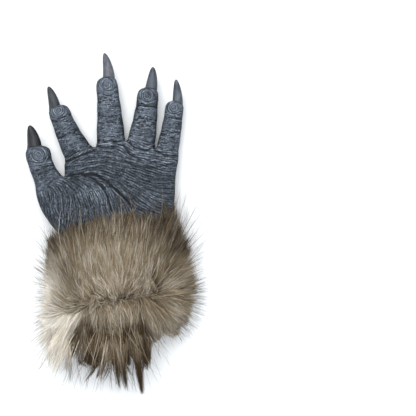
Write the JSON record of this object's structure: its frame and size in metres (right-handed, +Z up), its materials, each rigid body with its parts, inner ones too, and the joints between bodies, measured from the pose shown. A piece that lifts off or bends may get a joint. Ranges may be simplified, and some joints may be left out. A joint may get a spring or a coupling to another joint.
{
  "type": "werewolf glove",
  "caption": "Costume werewolf glove for a left hand: hollow grey latex hand with horn-like claws and a long-pile fur cuff round its wrist, lying palm up.",
  "frame": {"origin": "on the floor, under the middle of the glove's bounding box as it lies palm up", "axes": "+X towards the little finger's side, +Y from the cuff to the fingertips, +Z up out of the palm"},
  "size_m": [0.1902, 0.3556, 0.0757],
  "materials": {
    "latex": "matte, dry-brushed lighter on its ridges",
    "horn": "satin",
    "fur": "long pile, beige with dark brown tips"
  },
  "bodies": {
    "root": {"hand": "latex", "claw_thumb": "horn", "claw_index": "horn", "claw_middle": "horn", "claw_ring": "horn", "claw_little": "horn", "fur_cuff": "fur"}
  },
  "joints": []
}
